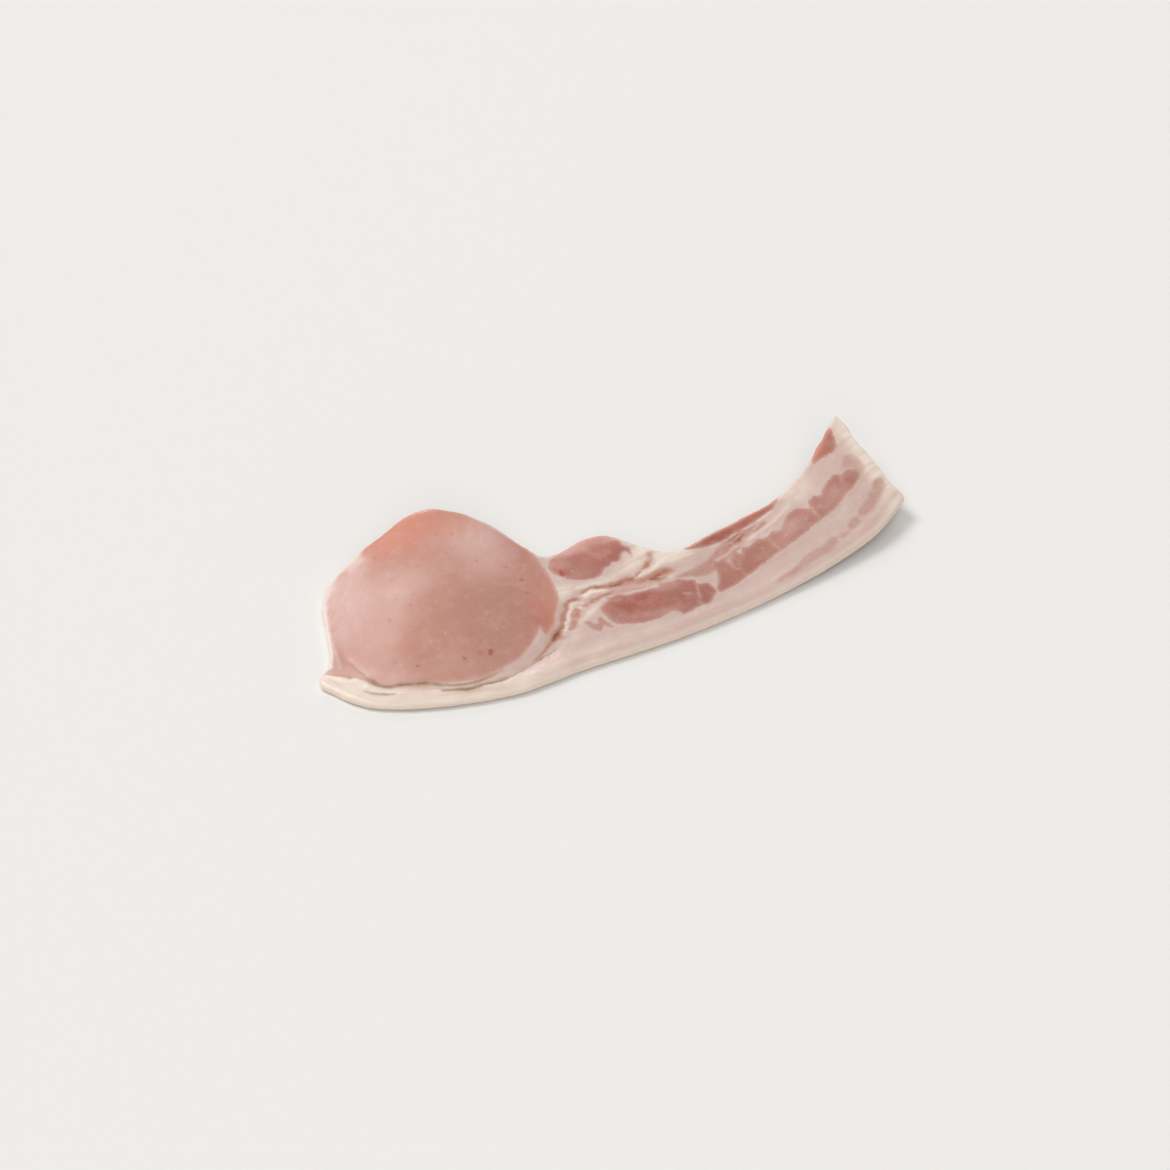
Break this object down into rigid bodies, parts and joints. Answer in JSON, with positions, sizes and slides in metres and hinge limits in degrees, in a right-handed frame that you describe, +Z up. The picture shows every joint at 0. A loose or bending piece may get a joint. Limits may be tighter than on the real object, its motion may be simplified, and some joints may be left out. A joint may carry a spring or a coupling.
{
  "type": "middle bacon rasher",
  "caption": "Raw middle bacon rasher: a thin wavy slice of cured pork with a round loin eye, a streaky belly tail and a rim of fat.",
  "frame": {"origin": "middle of the plan box, on the surface that the rasher lies on", "axes": "+X from the loin eye to the belly tail, +Y from the rind edge to the lean edge, +Z up"},
  "size_m": [0.263, 0.1118, 0.0197],
  "materials": {
    "cured_pork": "moist satin"
  },
  "bodies": {
    "root": {"rasher": "cured_pork"}
  },
  "joints": []
}
